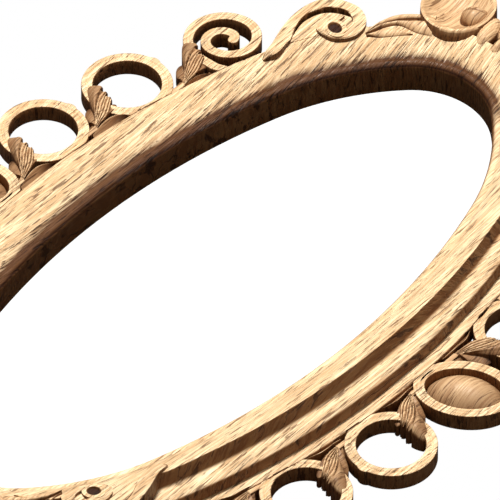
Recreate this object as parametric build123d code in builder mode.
from build123d import *
import math
import os

# Oval carved wooden picture frame, lying on its back, in millimetres.
# X runs across the oval, Y along it to the crest, Z up out of the face.
# The origin is the middle of the back plane.

# Sight opening: three tangent arcs in each quarter of the oval
sight_half_width = 123.4
sight_half_length = 286.5
end_arc_radius = 60.0
side_arc_reach = 17.33
shoulder_arc_reach = 45.7

# Moulding section, from the sight edge outward
roundover_width = 6.0
face_width = 24.8
ridge_run = 1.8
cove_width = 3.8
bead_width = 10.5
bead_draft = 0.4
fillet_width = 9.3
moulding_width = (
    roundover_width + face_width + ridge_run + cove_width + bead_width + bead_draft + fillet_width
)
ridge_offset = roundover_width + face_width

# Moulding section, upward from the back plane
lip_height = 10.0
inner_wall_rise = 21.0
roundover_rise = 6.7
face_rise = 13.6
ridge_drop = 10.5
cove_drop = 3.8
bead_fall = 2.2
ornament_thickness = 14.3
face_crown = 1.2
bead_crown = 1.0
cove_hollow = 0.6
back_bevel = 9.6
ridge_height = lip_height + inner_wall_rise + roundover_rise + face_rise
fillet_height = lip_height + ornament_thickness

# Rebate and what it holds
rebate_width = 8.0
ledge_width = 16.0
sheet_clearance = 0.5
glass_thickness = 2.0
blank_thickness = 1.0
backing_thickness = 3.0
ledge_height = lip_height - glass_thickness - blank_thickness - backing_thickness

# Loose splines across the joints of the moulding
spline_inset = 16.0
spline_width = 22.0
spline_thickness = 5.0
spline_length = 24.0
spline_height = 16.0

# Turn buttons and their screws
button_width = 10.0
button_reach = 18.0
button_thickness = 1.5
button_inset = 8.0
button_gap = 0.3
button_screw_diameter = 3.0
button_screw_fit = 0.1
button_head_diameter = 6.5
button_head_height = 1.2
button_screw_bite = 9.0

# Strap hangers: pocket in the back, strap, knuckle, ring and screws
hanger_angle = 9.0
pocket_width = 17.0
pocket_depth = 6.6
pocket_length = 58.0
strap_width = 11.0
strap_length = 26.0
strap_thickness = 1.2
strap_screw_diameter = 3.0
strap_head_diameter = 6.0
strap_head_height = 1.0
strap_screw_bite = 9.0
ring_wire = 2.2
ring_inside_width = 9.0
ring_inside_length = 13.0
knuckle_fit = 0.1
knuckle_wall = 0.8
knuckle_width = 6.0

# Pierced rings along the outer edge
ring_radius = 34.9
ring_bore_radius = 26.2
ring_groove_width = 1.6
ring_groove_depth = 0.8
ring_low_share, ring_high_share, ring_short_share = 0.133, 0.367, 0.328
ring_low_stand_off = 32.6
ring_high_stand_off = 28.9
ring_short_stand_off = 32.1
ring_lobe_radius = 7.5
ring_lobe_shares = (0.04, -0.83)
ring_spur_shares = (
    (-0.76, -0.20), (-0.71, -0.25), (-0.50, -0.32), (-0.34, -0.27), (-0.18, -0.36),
    (-0.14, -0.51), (-0.21, -0.64), (-0.26, -0.76),
)

# Cabochon at the middle of each side: an oval ring with a domed boss
cabochon_half_length = 39.0
cabochon_half_width = 30.0
cabochon_band = 8.6
cabochon_tilt = 27.0
cabochon_share = 0.104
cabochon_stand_off = 34.8
dome_base = 5.0
dome_rise = 10.5

# C-scrolls
c_scroll_radius = 31.1
c_scroll_band = 7.9
c_scroll_turn_shares = (1.0, 0.8, 0.52, 0.29)
c_scroll_share = 0.616
c_scroll_stand_off = 28.7
c_scroll_short_share = 0.572
c_tail_shares = (
    (0.04, 1.0), (-0.46, 1.0), (-1.15, 0.76), (-1.15, 0.5), (-0.46, 0.747), (0.04, 0.747),
)

# S-scrolls lying on the outer slope of the moulding
s_scroll_radius = 27.0
s_scroll_band = 7.9
s_scroll_turn_shares = (1.0, 0.75, 0.52)
s_scroll_share = 0.731
s_scroll_stand_off = 1.5
s_scroll_rise = 3.8
s_scroll_start_share = 1.19
s_core_radius = 9.7
s_eye_radius = 4.6
s_slot_depth = 6.2
s_stem_shares = (
    (0.92, 2.10), (1.13, 1.10), (1.19, 0.0), (1.04, -0.06), (0.898, 0.0), (0.86, 1.10),
    (0.66, 2.10), (0.79, 2.15),
)
s_web_shares = ((1.19, 0.0), (1.12, 1.30), (0.80, 1.95), (0.10, 1.30), (-0.60, 0.30))

# Acanthus leaves that climb over the rings and C-scrolls
leaf_size = 40.0
leaf_rise = 4.0
calyx_rise = 3.5
lobe_fall = 6.0
leaf_slot = 5.0
leaf_stand_off = 4.5
leaf_c_stand_off = 1.0
stem_width = 4.4
stem_low_reach, stem_high_reach, stem_c_reach = 4.0, 7.5, 6.5
stem_short_reach, stem_c_short_reach = 16.0, 10.5
leaf_low_share, leaf_high_share, leaf_c_share = -0.02, 0.21, 0.441
leaf_short_share, leaf_c_short_share = 0.169, 0.407
blade_shares = (
    (0.01, -0.07), (0.09, 0.03), (0.14, 0.12), (0.20, 0.22), (0.31, 0.30), (0.46, 0.39),
    (0.64, 0.49), (0.79, 0.57), (0.92, 0.67), (1.0, 0.75), (0.99, 0.85), (0.90, 0.86),
    (0.81, 0.80), (0.69, 0.84), (0.55, 0.83), (0.50, 0.78), (0.48, 0.74), (0.44, 0.81),
    (0.34, 0.80), (0.26, 0.73), (0.22, 0.64), (0.16, 0.54), (0.14, 0.43), (0.09, 0.20),
)
lobe_shares = (
    (0.05, -0.02), (0.26, 0.04), (0.42, 0.17), (0.55, 0.19), (0.61, 0.31), (0.66, 0.42),
    (0.58, 0.52), (0.30, 0.40),
)
calyx_shares = (
    (0.03, -0.07), (0.11, 0.20), (0.16, 0.43), (0.08, 0.64), (-0.12, 0.80), (-0.30, 0.76),
    (-0.42, 0.62), (-0.30, 0.25), (-0.08, -0.08), (-0.02, -0.10),
)

# Crest at each end
crest_rise = 5.2
scoop_half_width = 28.5
scoop_half_length = 30.0
scoop_spread = 42.0
scoop_drop = 13.0
scoop_rim = 3.0
scoop_depth = 15.0
scoop_inset = 10.5
bud_radius = 8.0
bud_rise = 14.0
bud_shares = (-0.55, -0.05)
finger_width = 19.6
finger_length = 66.0
finger_drop = 30.3
petal_width = 15.0
petal_length = 34.0
petal_angle = 38.0
petal_drop = 10.0
crest_leaf_fall = 5.5
crest_leaf_length = 45.0
crest_leaf_share = 0.765
crest_leaf_stand_off = 0.5
crest_leaf_shares = (
    (0.0, 0.0), (0.12, 0.36), (0.03, 0.67), (-0.09, 0.86), (-0.30, 0.97), (-0.45, 0.95),
    (-0.57, 0.88), (-0.69, 0.78), (-0.72, 0.66), (-0.52, 0.49), (-0.27, 0.27), (-0.11, 0.15),
)

# Dowels that carry the ornaments on the outer wall
dowel_diameter = 3.0
dowel_bite = 8.0
dowel_reach = 2.2
c_dowel_share = 0.7

# One overrun for all cuts
overrun = 2.0


def solve_oval():
    """Return the centre, radius, start and sweep of the eight arcs of the sight edge."""
    cos_a, sin_a = math.cos(math.radians(side_arc_reach)), math.sin(math.radians(side_arc_reach))
    cos_b = math.cos(math.radians(shoulder_arc_reach))
    sin_b = math.sin(math.radians(shoulder_arc_reach))
    right_x = end_arc_radius * cos_b - sight_half_width
    right_y = sight_half_length - end_arc_radius + end_arc_radius * sin_b
    det = (cos_a - 1) * (sin_b - sin_a) - (cos_b - cos_a) * sin_a
    side = (right_x * (sin_b - sin_a) - (cos_b - cos_a) * right_y) / det
    shoulder = ((cos_a - 1) * right_y - right_x * sin_a) / det
    side_x = side - sight_half_width
    mid_x = (side - shoulder) * cos_a - side_x
    mid_y = (side - shoulder) * sin_a
    end_y = sight_half_length - end_arc_radius
    shoulder_sweep = shoulder_arc_reach - side_arc_reach
    end_sweep = 180 - 2 * shoulder_arc_reach
    return {
        "side_right": ((-side_x, 0), side, -side_arc_reach, 2 * side_arc_reach),
        "shoulder_top_right": ((mid_x, mid_y), shoulder, side_arc_reach, shoulder_sweep),
        "end_top": ((0, end_y), end_arc_radius, shoulder_arc_reach, end_sweep),
        "shoulder_top_left": ((-mid_x, mid_y), shoulder, 180 - shoulder_arc_reach, shoulder_sweep),
        "side_left": ((side_x, 0), side, 180 - side_arc_reach, 2 * side_arc_reach),
        "shoulder_bottom_left": (
            (-mid_x, -mid_y), shoulder, 180 + side_arc_reach, shoulder_sweep
        ),
        "end_bottom": ((0, -end_y), end_arc_radius, 180 + shoulder_arc_reach, end_sweep),
        "shoulder_bottom_right": (
            (mid_x, -mid_y), shoulder, -shoulder_arc_reach, shoulder_sweep
        ),
    }


arcs = solve_oval()
outer_half_length = sight_half_length + moulding_width


def unit(angle):
    """Return the unit vector at an angle in degrees."""
    return math.cos(math.radians(angle)), math.sin(math.radians(angle))


def arc_at(height_y, growth):
    """Return the centre and the grown radius of the arc that crosses height_y."""
    for name in ("side_right", "shoulder_top_right", "end_top"):
        centre, radius, start, sweep = arcs[name]
        grown = radius + growth
        if abs(height_y) <= centre[1] + grown * unit(min(start + sweep, 90))[1]:
            break
    return centre, grown


def oval_x(height_y, growth):
    """Return the positive x of the oval grown by growth, where it crosses height_y."""
    centre, grown = arc_at(height_y, growth)
    rise = abs(height_y) - centre[1]
    return centre[0] + math.sqrt(max(grown ** 2 - rise ** 2, 0))


def arc_point(name, angle, growth):
    """Return the point on one arc, at an angle, grown outward by growth."""
    centre, radius, start, sweep = arcs[name]
    across, along = unit(angle)
    return centre[0] + (radius + growth) * across, centre[1] + (radius + growth) * along


def oval_sketch(growth, height):
    """Return the face inside the oval grown by growth, at a height."""
    with BuildSketch(Plane.XY.offset(height)) as oval:
        with BuildLine():
            for centre, radius, start, sweep in arcs.values():
                CenterArc(centre, radius + growth, start, sweep)
        make_face()
    return oval.sketch


def section_points():
    """Return the named corners of the moulding section as offset and height."""
    cove_offset = ridge_offset + ridge_run
    bead_offset = cove_offset + cove_width
    step_offset = bead_offset + bead_width
    cove_height = ridge_height - ridge_drop
    bead_height = cove_height - cove_drop
    return {
        "lip": (0, lip_height),
        "wall_top": (0, lip_height + inner_wall_rise),
        "face_start": (roundover_width, ridge_height - face_rise),
        "ridge": (ridge_offset, ridge_height),
        "cove_top": (cove_offset, cove_height),
        "bead_start": (bead_offset, bead_height),
        "bead_end": (step_offset, bead_height - bead_fall),
        "step": (step_offset + bead_draft, fillet_height),
        "fillet_end": (moulding_width, fillet_height),
        "bevel_top": (moulding_width, back_bevel),
        "bevel_foot": (moulding_width - back_bevel, 0),
        "ledge_outer": (rebate_width + ledge_width, 0),
        "ledge_top": (rebate_width + ledge_width, ledge_height),
        "rebate_foot": (rebate_width, ledge_height),
        "rebate_top": (rebate_width, lip_height),
    }


def between(start, end, across, up):
    """Return the middle of two points moved by across and up."""
    return (start[0] + end[0]) / 2 + across, (start[1] + end[1]) / 2 + up


def moulding_segment(name, cutters):
    """Return one sawn and moulded segment of the oval."""
    centre, radius, start, sweep = arcs[name]
    across, along = unit(start)
    corners = {key: (radius + x, z) for key, (x, z) in section_points().items()}
    round_sag = (roundover_width + roundover_rise) / 2 - math.hypot(roundover_width, roundover_rise) / 2
    section = Plane(origin=(*centre, 0), x_dir=(across, along, 0), z_dir=(along, -across, 0))
    with BuildPart() as segment:
        with BuildSketch(section):
            with BuildLine():
                Line(corners["lip"], corners["wall_top"])
                ThreePointArc(
                    corners["wall_top"],
                    between(corners["wall_top"], corners["face_start"], -round_sag, round_sag),
                    corners["face_start"],
                )
                ThreePointArc(
                    corners["face_start"],
                    between(corners["face_start"], corners["ridge"], 0, face_crown),
                    corners["ridge"],
                )
                Line(corners["ridge"], corners["cove_top"])
                ThreePointArc(
                    corners["cove_top"],
                    between(corners["cove_top"], corners["bead_start"], -cove_hollow, -cove_hollow),
                    corners["bead_start"],
                )
                ThreePointArc(
                    corners["bead_start"],
                    between(corners["bead_start"], corners["bead_end"], 0, bead_crown),
                    corners["bead_end"],
                )
                rest = ("bead_end", "step", "fillet_end", "bevel_top", "bevel_foot", "ledge_outer",
                        "ledge_top", "rebate_foot", "rebate_top", "lip")
                Polyline(*[corners[key] for key in rest])
            make_face()
        revolve(axis=Axis((*centre, 0), (0, 0, 1)), revolution_arc=sweep)
        for cutter in cutters:
            add(cutter, mode=Mode.SUBTRACT)
    return segment.part


def rebate_sheet(top, thickness):
    """Return one oval sheet that lies in the rebate."""
    outline = oval_sketch(rebate_width - sheet_clearance, top - thickness)
    with BuildPart() as sheet:
        extrude(outline, amount=thickness)
    return sheet.part


def joint_splines():
    """Return the loose splines, one across each joint of the moulding."""
    middle = spline_inset + spline_width / 2
    with BuildPart() as splines:
        for name, (centre, radius, start, sweep) in arcs.items():
            spot = arc_point(name, start, middle)
            across, along = unit(start)
            with BuildSketch(Plane(origin=(*spot, spline_height), x_dir=(across, along, 0))):
                Rectangle(spline_width, spline_length)
            extrude(amount=spline_thickness)
    return splines.part


def button_spots():
    """Return the pivot and inward direction of each turn button."""
    spots = {}
    for name in arcs:
        if name.startswith("shoulder"):
            centre, radius, start, sweep = arcs[name]
            angle = start + sweep / 2
            pivot = arc_point(name, angle, rebate_width + button_inset)
            across, along = unit(angle)
            spots[name.replace("shoulder", "turn_button")] = (pivot, (-across, -along, 0))
    return spots


button_top = ledge_height - button_gap
button_underside = button_top - button_thickness


def turn_button(pivot, inward):
    """Return one flat turn button, pointing in over the backing."""
    hole = button_screw_diameter / 2 + button_screw_fit
    end_spacing = button_reach - button_width / 2
    plane = Plane(origin=(*pivot, button_underside), x_dir=inward, z_dir=(0, 0, 1))
    with BuildPart() as button:
        with BuildSketch(plane):
            SlotCenterPoint((end_spacing / 2, 0), (end_spacing, 0), button_width)
            Circle(hole, mode=Mode.SUBTRACT)
        extrude(amount=button_thickness)
    return button.part


def button_screws():
    """Return the screws that the turn buttons swing on."""
    head_top = button_underside - button_gap
    with BuildPart() as screws:
        for pivot, inward in button_spots().values():
            with BuildSketch(Plane(origin=(*pivot, head_top))):
                Circle(button_screw_diameter / 2)
            extrude(amount=ledge_height - head_top + button_screw_bite)
            with BuildSketch(Plane(origin=(*pivot, head_top - button_head_height))):
                Circle(button_head_diameter / 2)
            extrude(amount=button_head_height)
    return screws.part


hanger_middle = (rebate_width + ledge_width + moulding_width - back_bevel) / 2
knuckle_height = pocket_depth - strap_thickness - strap_head_height - knuckle_wall - ring_wire / 2


def hanger_plane(side, height):
    """Return the plane of one hanger, at its ring's hinge, with x along the rail to the crest."""
    name = "side_right" if side > 0 else "side_left"
    angle = hanger_angle if side > 0 else 180 - hanger_angle
    across, along = unit(angle)
    spot = arc_point(name, angle, hanger_middle)
    return Plane(origin=(*spot, height), x_dir=(-side * along, side * across, 0), z_dir=(0, 0, 1))


def hanger_pockets():
    """Return the two pockets routed in the back for the strap hangers."""
    with BuildPart() as pockets:
        for side in (1, -1):
            with BuildSketch(hanger_plane(side, -overrun)):
                SlotOverall(pocket_length, pocket_width)
            extrude(amount=pocket_depth + overrun)
    return pockets.part


def hanger_straps():
    """Return the two strap plates with the knuckles that hold the rings."""
    knuckle_radius = ring_wire / 2 + knuckle_fit + knuckle_wall
    strap_start = -knuckle_radius - strap_length / 2
    with BuildPart() as straps:
        for side in (1, -1):
            with BuildSketch(hanger_plane(side, pocket_depth - strap_thickness)):
                with Locations((strap_start + knuckle_radius, 0)):
                    Rectangle(strap_length, strap_width)
                with Locations((-knuckle_radius / 2, 0)):
                    Rectangle(knuckle_radius, knuckle_width)
            extrude(amount=strap_thickness)
            plane = hanger_plane(side, knuckle_height)
            start = plane.from_local_coords((0, -knuckle_width / 2, 0))
            turned = Plane(origin=start, x_dir=plane.x_dir, z_dir=plane.y_dir)
            with BuildSketch(turned):
                Circle(knuckle_radius)
                with Locations((-knuckle_radius / 2, -(pocket_depth - knuckle_height) / 2)):
                    Rectangle(knuckle_radius, pocket_depth - knuckle_height)
            extrude(amount=knuckle_width)
            with BuildSketch(turned):
                Circle(ring_wire / 2 + knuckle_fit)
            extrude(amount=knuckle_width, mode=Mode.SUBTRACT)
        for spot in strap_screw_spots():
            with BuildSketch(Plane(origin=spot)):
                Circle(strap_screw_diameter / 2)
            extrude(amount=strap_thickness * 2, both=True, mode=Mode.SUBTRACT)
    return straps.part


def strap_screw_spots():
    """Return the middles of the strap screws on the pocket floors."""
    spots = []
    for side in (1, -1):
        for step in (1, 3):
            along = -strap_length * step / 4 - strap_head_height
            spots.append(hanger_plane(side, pocket_depth).from_local_coords((along, 0, 0)))
    return spots


def strap_screws():
    """Return the screws of the strap hangers."""
    with BuildPart() as screws:
        for spot in strap_screw_spots():
            with BuildSketch(Plane(origin=spot - Vector(0, 0, strap_thickness))):
                Circle(strap_screw_diameter / 2)
            extrude(amount=strap_thickness + strap_screw_bite)
            under = spot - Vector(0, 0, strap_thickness + strap_head_height)
            with BuildSketch(Plane(origin=under)):
                Circle(strap_head_diameter / 2)
            extrude(amount=strap_head_height)
    return screws.part


def hanger_ring(side):
    """Return one D ring, its straight leg in the knuckle, lying toward the crest."""
    plane = hanger_plane(side, knuckle_height)
    half = (ring_inside_width + ring_wire) / 2
    reach = ring_inside_length + ring_wire - half
    start = plane.from_local_coords((0, 0, 0))
    with BuildPart() as ring:
        with BuildLine(plane) as path:
            Line((0, 0), (0, -half))
            Line((0, -half), (reach, -half))
            ThreePointArc((reach, -half), (reach + half, 0), (reach, half))
            Line((reach, half), (0, half))
            Line((0, half), (0, 0))
        with BuildSketch(Plane(origin=start, x_dir=plane.x_dir, z_dir=plane.y_dir)):
            Circle(ring_wire / 2)
        sweep(path=path.wires()[0], transition=Transition.ROUND)
    return ring.part


def ornament_plane(side, hand, share, stand_off):
    """Return the plane of an ornament beside the outer wall.

    Its x points outward. Its y points at the cabochon of that side where hand is 1.
    """
    height_y = share * outer_half_length
    spot_x = oval_x(height_y, moulding_width) + stand_off
    return Plane(
        origin=(side * spot_x, -side * hand * height_y, lip_height),
        x_dir=(side, 0, 0),
        z_dir=(0, 0, 1),
    )


def leaf_plane(side, hand, share, stand_off):
    """Return the plane of a leaf, laid out as ornament_plane is but turned along the wall."""
    flat = ornament_plane(side, hand, share, stand_off)
    centre, grown = arc_at(flat.origin.Y, moulding_width)
    lean = math.degrees(math.asin((abs(flat.origin.Y) - centre[1]) / grown))
    across, along = unit(lean)
    upward = math.copysign(along, flat.origin.Y)
    return Plane(origin=flat.origin, x_dir=(side * across, upward, 0), z_dir=(0, 0, 1))


def arc_face(points):
    """Return the face inside arcs that each run through three points, corner to corner."""
    corners = points[0::2]
    middles = points[1::2]
    with BuildSketch() as outline_sketch:
        with BuildLine():
            for index, middle in enumerate(middles):
                ThreePointArc(corners[index], middle, corners[(index + 1) % len(corners)])
        make_face()
    return outline_sketch.sketch


def outline(shares, width, length, hand):
    """Return the points of an outline, from its shares of a width and a length."""
    return [(across * width, hand * along * length) for across, along in shares]


def pierced_ring(plane, hand, cutters):
    """Return one pierced ring with its inward spur and its small outer lobe."""
    middle = (ring_radius + ring_bore_radius) / 2
    with BuildPart() as ring:
        with BuildSketch(plane):
            Circle(ring_radius)
            with Locations((ring_lobe_shares[0] * ring_radius, hand * ring_lobe_shares[1] * ring_radius)):
                Circle(ring_lobe_radius)
            Circle(ring_bore_radius, mode=Mode.SUBTRACT)
            with BuildLine():
                spur = outline(ring_spur_shares, ring_radius, ring_radius, hand)
                Spline(*spur)
                Line(spur[-1], spur[0])
            make_face()
        extrude(amount=ornament_thickness)
        with BuildSketch(plane.offset(ornament_thickness - ring_groove_depth)):
            Circle(middle + ring_groove_width / 2)
            Circle(middle - ring_groove_width / 2, mode=Mode.SUBTRACT)
        extrude(amount=ring_groove_depth, mode=Mode.SUBTRACT)
        for cutter in cutters:
            add(cutter, mode=Mode.SUBTRACT)
    return ring.part


def cabochon_ring(plane, cutters):
    """Return the oval ring of a cabochon."""
    with BuildPart() as ring:
        with BuildSketch(plane):
            Ellipse(cabochon_half_length, cabochon_half_width, rotation=cabochon_tilt)
            Ellipse(
                cabochon_half_length - cabochon_band,
                cabochon_half_width - cabochon_band,
                rotation=cabochon_tilt,
                mode=Mode.SUBTRACT,
            )
        extrude(amount=ornament_thickness)
        for cutter in cutters:
            add(cutter, mode=Mode.SUBTRACT)
    return ring.part


def cabochon_dome(plane):
    """Return the boss of a cabochon: an oval base under a part of a spheroid."""
    half_length = cabochon_half_length - cabochon_band
    half_width = cabochon_half_width - cabochon_band
    ball = (half_width ** 2 + dome_rise ** 2) / (2 * dome_rise)
    ball_length = half_length * ball / half_width
    across, along = unit(cabochon_tilt)
    axis_dir = plane.x_dir * across + plane.y_dir * along
    centre = plane.origin + Vector(0, 0, dome_base + dome_rise - ball)
    upright = Plane(origin=centre, x_dir=axis_dir, z_dir=axis_dir.cross(Vector(0, 0, 1)))
    with BuildPart() as dome:
        with BuildSketch(upright):
            Ellipse(ball_length, ball)
            with Locations((0, -ball)):
                Rectangle(2 * ball_length, 2 * ball, mode=Mode.SUBTRACT)
        revolve(axis=Axis(centre, axis_dir), revolution_arc=360)
        with BuildSketch(plane):
            Ellipse(half_length, half_width, rotation=cabochon_tilt)
        extrude(amount=dome_base + dome_rise, mode=Mode.INTERSECT)
        with BuildSketch(plane):
            Ellipse(half_length, half_width, rotation=cabochon_tilt)
        extrude(amount=dome_base)
    return dome.part


def spiral_turns(start, toward, turn, radii):
    """Return the centre, inward direction, turn and radius of each half turn of a spiral."""
    turns = []
    spot = Vector(*start)
    inward = Vector(*toward)
    for radius in radii:
        centre = spot + inward * radius
        turns.append((centre, inward, turn, radius))
        spot = centre + inward * radius
        inward = inward * -1
    return turns


def spiral_sketch(turns, band, last_share):
    """Return the band of a spiral as one face, the last turn cut to a share of a half turn."""
    with BuildSketch() as spiral:
        for index, (centre, inward, turn, radius) in enumerate(turns):
            side = Vector(-inward.Y, inward.X) * -turn
            reach = 180 * (last_share if index == len(turns) - 1 else 1)
            spots = []
            for size in (radius, radius - band):
                for step in (0, reach / 2, reach):
                    back, along = unit(step)
                    spots.append(centre - inward * back * size + side * along * size)
            with BuildLine():
                ThreePointArc(spots[0], spots[1], spots[2])
                Line(spots[2], spots[5])
                ThreePointArc(spots[5], spots[4], spots[3])
                Line(spots[3], spots[0])
            make_face()
    return spiral.sketch


def c_scroll(plane, hand, cutters):
    """Return one pierced C-scroll with its tail into the moulding."""
    radii = [share * c_scroll_radius for share in c_scroll_turn_shares]
    turns = spiral_turns((0, hand * c_scroll_radius), (0, -hand), -hand, radii)
    centre, inward, turn, radius = turns[-1]
    tip = centre - Vector(radius - c_scroll_band / 2, 0)
    band = spiral_sketch(turns, c_scroll_band, 1 / 2)
    tail = outline(c_tail_shares, c_scroll_radius, c_scroll_radius, hand)
    with BuildPart() as scroll:
        with BuildSketch(plane):
            add(band)
            with Locations(tip):
                Circle(c_scroll_band / 2)
            with BuildLine():
                Polyline(*tail, close=True)
            make_face()
        extrude(amount=ornament_thickness)
        for cutter in cutters:
            add(cutter, mode=Mode.SUBTRACT)
    return scroll.part


def slope_plane(side, hand, share, stand_off):
    """Return the plane of an ornament beside the ridge, laid out as ornament_plane is."""
    height_y = share * outer_half_length
    spot_x = oval_x(height_y, ridge_offset) + stand_off
    return Plane(
        origin=(side * spot_x, -side * hand * height_y, lip_height),
        x_dir=(side, 0, 0),
        z_dir=(0, 0, 1),
    )


def s_scroll(plane, hand, inside_ridge, cutters):
    """Return one S-scroll: a web flush with the ridge and a raised band that ends in a volute."""
    radii = [share * s_scroll_radius for share in s_scroll_turn_shares]
    start = (s_scroll_start_share * s_scroll_radius, 0)
    turns = spiral_turns(start, (-1, 0), -hand, radii)
    last = turns[-1]
    core = last[0] + last[1] * (last[3] - s_core_radius)
    band = spiral_sketch(turns, s_scroll_band, 1)
    stem = arc_face(outline(s_stem_shares, s_scroll_radius, s_scroll_radius, hand))
    web = outline(s_web_shares, s_scroll_radius, s_scroll_radius, hand)
    foot = fillet_height - lip_height
    band_top = ridge_height + s_scroll_rise - lip_height
    with BuildPart() as scroll:
        with BuildSketch(plane.offset(foot)):
            with Locations(turns[0][0]):
                Circle(s_scroll_radius)
            with BuildLine():
                Polyline(*web, close=True)
            make_face()
        extrude(amount=band_top - s_slot_depth - foot)
        add(inside_ridge, mode=Mode.SUBTRACT)
        with BuildSketch(plane.offset(foot)):
            add(band)
            add(stem)
            with Locations(core):
                Circle(s_core_radius)
        extrude(amount=band_top - foot)
        with BuildSketch(plane.offset(band_top - s_slot_depth)):
            with Locations(core):
                Circle(s_eye_radius)
        extrude(amount=s_slot_depth, mode=Mode.SUBTRACT)
        for cutter in cutters:
            add(cutter, mode=Mode.SUBTRACT)
    return scroll.part


def acanthus(plane, hand, reach, cutters):
    """Return one leaf: a stem, a lobed blade over its ring, low side lobes and a calyx."""
    blade = arc_face(outline(blade_shares, leaf_size, leaf_size, -hand))
    lobes = arc_face(outline(lobe_shares, leaf_size, leaf_size, -hand))
    calyx = arc_face(outline(calyx_shares, leaf_size, leaf_size, -hand))
    with BuildPart() as leaf:
        for face, rise in ((blade, leaf_rise), (calyx, calyx_rise), (lobes, -lobe_fall)):
            with BuildSketch(plane):
                add(face)
            extrude(amount=ornament_thickness + rise)
        with BuildSketch(plane):
            with Locations((stem_width / 2, hand * reach / 2)):
                Rectangle(stem_width, reach)
        extrude(amount=ornament_thickness)
        for cutter in cutters:
            add(cutter, mode=Mode.SUBTRACT)
    return leaf.part


def crest_scoop(end, side, cutters):
    """Return one hollow scoop of the crest with the pointed bud inside it."""
    spot = (side * scoop_spread, end * (outer_half_length - scoop_drop))
    top = ridge_height + crest_rise
    hollow_width = scoop_half_width - scoop_rim
    hollow_length = scoop_half_length - scoop_rim
    ball = (hollow_width ** 2 + scoop_depth ** 2) / (2 * scoop_depth)
    ball_length = hollow_length * ball / hollow_width
    centre = Vector(*spot, top - scoop_depth + ball)
    bud = (
        spot[0] + side * bud_shares[0] * scoop_half_width,
        spot[1] + end * bud_shares[1] * scoop_half_length,
    )
    with BuildPart() as scoop:
        with BuildSketch(Plane(origin=(*spot, fillet_height))):
            Ellipse(scoop_half_width - scoop_inset, scoop_half_length - scoop_inset)
        with BuildSketch(Plane(origin=(*spot, top))):
            Ellipse(scoop_half_width, scoop_half_length)
        loft()
        with BuildSketch(Plane(origin=centre, x_dir=(0, 1, 0), z_dir=(1, 0, 0))):
            Ellipse(ball_length, ball)
            with Locations((0, ball)):
                Rectangle(2 * ball_length, 2 * ball, mode=Mode.SUBTRACT)
        revolve(axis=Axis(centre, (0, 1, 0)), revolution_arc=360, mode=Mode.SUBTRACT)
        with BuildSketch(Plane(origin=(*bud, top - scoop_depth - overrun))):
            Circle(bud_radius)
        extrude(amount=bud_rise, taper=math.degrees(math.atan(bud_radius / bud_rise)) * 3 / 4)
        for cutter in cutters:
            add(cutter, mode=Mode.SUBTRACT)
    return scoop.part


def crest_fingers(end, cutters):
    """Return the middle of the crest: a long finger petal and two short ones behind it."""
    root = end * (outer_half_length - petal_drop)
    middle = end * (outer_half_length - finger_drop + finger_length / 2)
    with BuildPart() as fingers:
        with BuildSketch(Plane.XY.offset(fillet_height)):
            with Locations((0, middle)):
                SlotOverall(finger_length, finger_width, rotation=90)
            for side in (1, -1):
                across, along = unit(90 - petal_angle)
                spacing = petal_length - petal_width
                tip = (side * across * spacing, root + end * along * spacing)
                with BuildLine():
                    Line((0, root), tip)
                trace(line_width=petal_width)
                with Locations(tip):
                    Circle(petal_width / 2)
        extrude(amount=ridge_height + crest_rise - fillet_height)
        for cutter in cutters:
            add(cutter, mode=Mode.SUBTRACT)
    return fingers.part


def crest_leaf(plane, hand, cutters):
    """Return one three-bladed leaf between a scroll and a scoop of the crest."""
    points = outline(crest_leaf_shares, crest_leaf_length, crest_leaf_length, -hand)
    face = arc_face(points)
    foot = fillet_height - lip_height
    with BuildPart() as leaf:
        with BuildSketch(plane.offset(foot)):
            add(face)
        extrude(amount=ridge_height - crest_leaf_fall - fillet_height)
        for cutter in cutters:
            add(cutter, mode=Mode.SUBTRACT)
    return leaf.part


def dowels(spots):
    """Return the dowels at the given sides and heights, from the moulding into the ornaments."""
    with BuildPart() as pins:
        for side, spot_y in spots:
            start = (side * (oval_x(spot_y, moulding_width) - dowel_bite), spot_y)
            height = lip_height + ornament_thickness / 2
            with BuildSketch(Plane(origin=(*start, height), x_dir=(0, 1, 0), z_dir=(side, 0, 0))):
                Circle(dowel_diameter / 2)
            extrude(amount=dowel_bite + dowel_reach)
    return pins.part


def oval_block(growth):
    """Return the solid inside the oval grown by growth, over the whole height."""
    outline_face = oval_sketch(growth, -overrun)
    with BuildPart() as block:
        extrude(outline_face, amount=ridge_height + crest_rise + 2 * overrun)
    return block.part


def chains():
    """Return each side and hand with the word that names its quarter of the frame."""
    return [(-1, 1, "top_left"), (1, 1, "bottom_right"), (1, -1, "top_right"), (-1, -1, "bottom_left")]


def dowel_spots():
    """Return the side and the height of each dowel."""
    spots = []
    for side, hand, quarter in chains():
        ring_shares = (ring_low_share, ring_high_share) if hand > 0 else (ring_short_share,)
        scroll_share = c_scroll_share if hand > 0 else c_scroll_short_share
        tail = c_dowel_share * c_scroll_radius
        spots += [(side, -side * hand * share * outer_half_length) for share in ring_shares]
        spots.append((side, -side * hand * (scroll_share * outer_half_length - tail)))
        if hand > 0:
            spots.append((side, side * cabochon_share * outer_half_length))
    return spots


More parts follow.
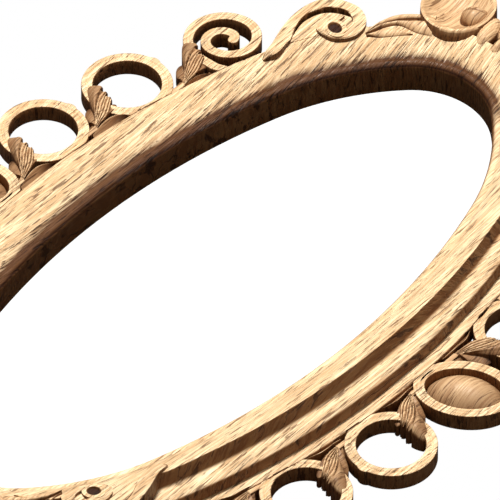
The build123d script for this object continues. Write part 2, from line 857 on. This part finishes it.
def make_pieces():
    """Return every finished piece by its name."""
    pieces = {}
    splines = joint_splines()
    pins = dowels(dowel_spots())
    screws = button_screws()
    hooks = strap_screws()
    pockets = hanger_pockets()
    for name in arcs:
        cutters = [splines, pins]
        if name.startswith("shoulder"):
            cutters.append(screws)
        if name.startswith("side"):
            cutters += [pockets, hooks]
        pieces[f"moulding_{name}"] = moulding_segment(name, cutters)
    pieces["joint_splines"] = splines
    pieces["ornament_dowels"] = pins
    pieces["turn_button_screws"] = screws
    pieces["hanger_screws"] = hooks
    pieces["hanger_straps"] = hanger_straps()
    pieces["hanger_ring_right"] = hanger_ring(1)
    pieces["hanger_ring_left"] = hanger_ring(-1)
    for name, (pivot, inward) in button_spots().items():
        pieces[name] = turn_button(pivot, inward)
    top = lip_height
    for name, thickness in (
        ("glass", glass_thickness),
        ("blank_sheet", blank_thickness),
        ("backing_board", backing_thickness),
    ):
        pieces[name] = rebate_sheet(top, thickness)
        top -= thickness

    wall = oval_block(moulding_width)
    slotted_wall = oval_block(moulding_width + leaf_slot)
    inside_ridge = oval_block(ridge_offset)
    cabochons = {}
    for side, word in ((1, "right"), (-1, "left")):
        plane = ornament_plane(side, -1, cabochon_share, cabochon_stand_off)
        pieces[f"cabochon_ring_{word}"] = cabochon_ring(plane, [wall, pins])
        pieces[f"cabochon_dome_{word}"] = cabochon_dome(plane)
        cabochons[side] = pieces[f"cabochon_ring_{word}"]
    for side, hand, quarter in chains():
        long_chain = hand > 0
        end_word, side_word = quarter.split("_")
        names = (f"side_{side_word}", f"shoulder_{quarter}", f"end_{end_word}")
        slope = [pieces[f"moulding_{name}"] for name in names]
        rings = {"high": (ring_high_share, ring_high_stand_off, leaf_high_share, stem_high_reach)}
        if long_chain:
            rings["low"] = (ring_low_share, ring_low_stand_off, leaf_low_share, stem_low_reach)
        else:
            short_stand_off = ring_short_stand_off
            rings["high"] = (ring_short_share, short_stand_off, leaf_short_share, stem_short_reach)
        for place, (share, stand_off, leaf_share, reach) in rings.items():
            plane = ornament_plane(side, hand, share, stand_off)
            pieces[f"ring_{place}_{quarter}"] = pierced_ring(plane, hand, [wall, pins])
        chain = [pieces[f"ring_{place}_{quarter}"] for place in rings] + [cabochons[side]]
        for place, (share, stand_off, leaf_share, reach) in rings.items():
            plane = leaf_plane(side, hand, leaf_share, leaf_stand_off)
            leaf = acanthus(plane, hand, reach, [slotted_wall, *chain])
            pieces[f"ring_leaf_{place}_{quarter}"] = leaf
        share = c_scroll_share if long_chain else c_scroll_short_share
        plane = ornament_plane(side, hand, share, c_scroll_stand_off)
        scroll = c_scroll(plane, hand, [wall, pins])
        pieces[f"c_scroll_{quarter}"] = scroll
        share = leaf_c_share if long_chain else leaf_c_short_share
        reach = stem_c_reach if long_chain else stem_c_short_reach
        plane = leaf_plane(side, hand, share, leaf_c_stand_off)
        cutters = [slotted_wall, scroll, *chain]
        pieces[f"scroll_leaf_{quarter}"] = acanthus(plane, hand, reach, cutters)
        plane = slope_plane(side, hand, s_scroll_share, s_scroll_stand_off)
        s_piece = s_scroll(plane, hand, inside_ridge, slope)
        pieces[f"s_scroll_{quarter}"] = s_piece
        end = 1 if end_word == "top" else -1
        scoop = crest_scoop(end, side, slope)
        pieces[f"crest_scoop_{quarter}"] = scoop
        plane = slope_plane(side, hand, crest_leaf_share, crest_leaf_stand_off)
        cutters = [inside_ridge, *slope, scoop, s_piece]
        pieces[f"crest_leaf_{quarter}"] = crest_leaf(plane, hand, cutters)
    for end, word in ((1, "top"), (-1, "bottom")):
        scoops = [pieces[f"crest_scoop_{word}_{side}"] for side in ("left", "right")]
        cutters = [pieces[f"moulding_end_{word}"], *scoops]
        pieces[f"crest_fingers_{word}"] = crest_fingers(end, cutters)
    return pieces


os.makedirs("parts", exist_ok=True)
for name, piece in make_pieces().items():
    piece.label = name
    export_step(piece, f"parts/{name}.step")
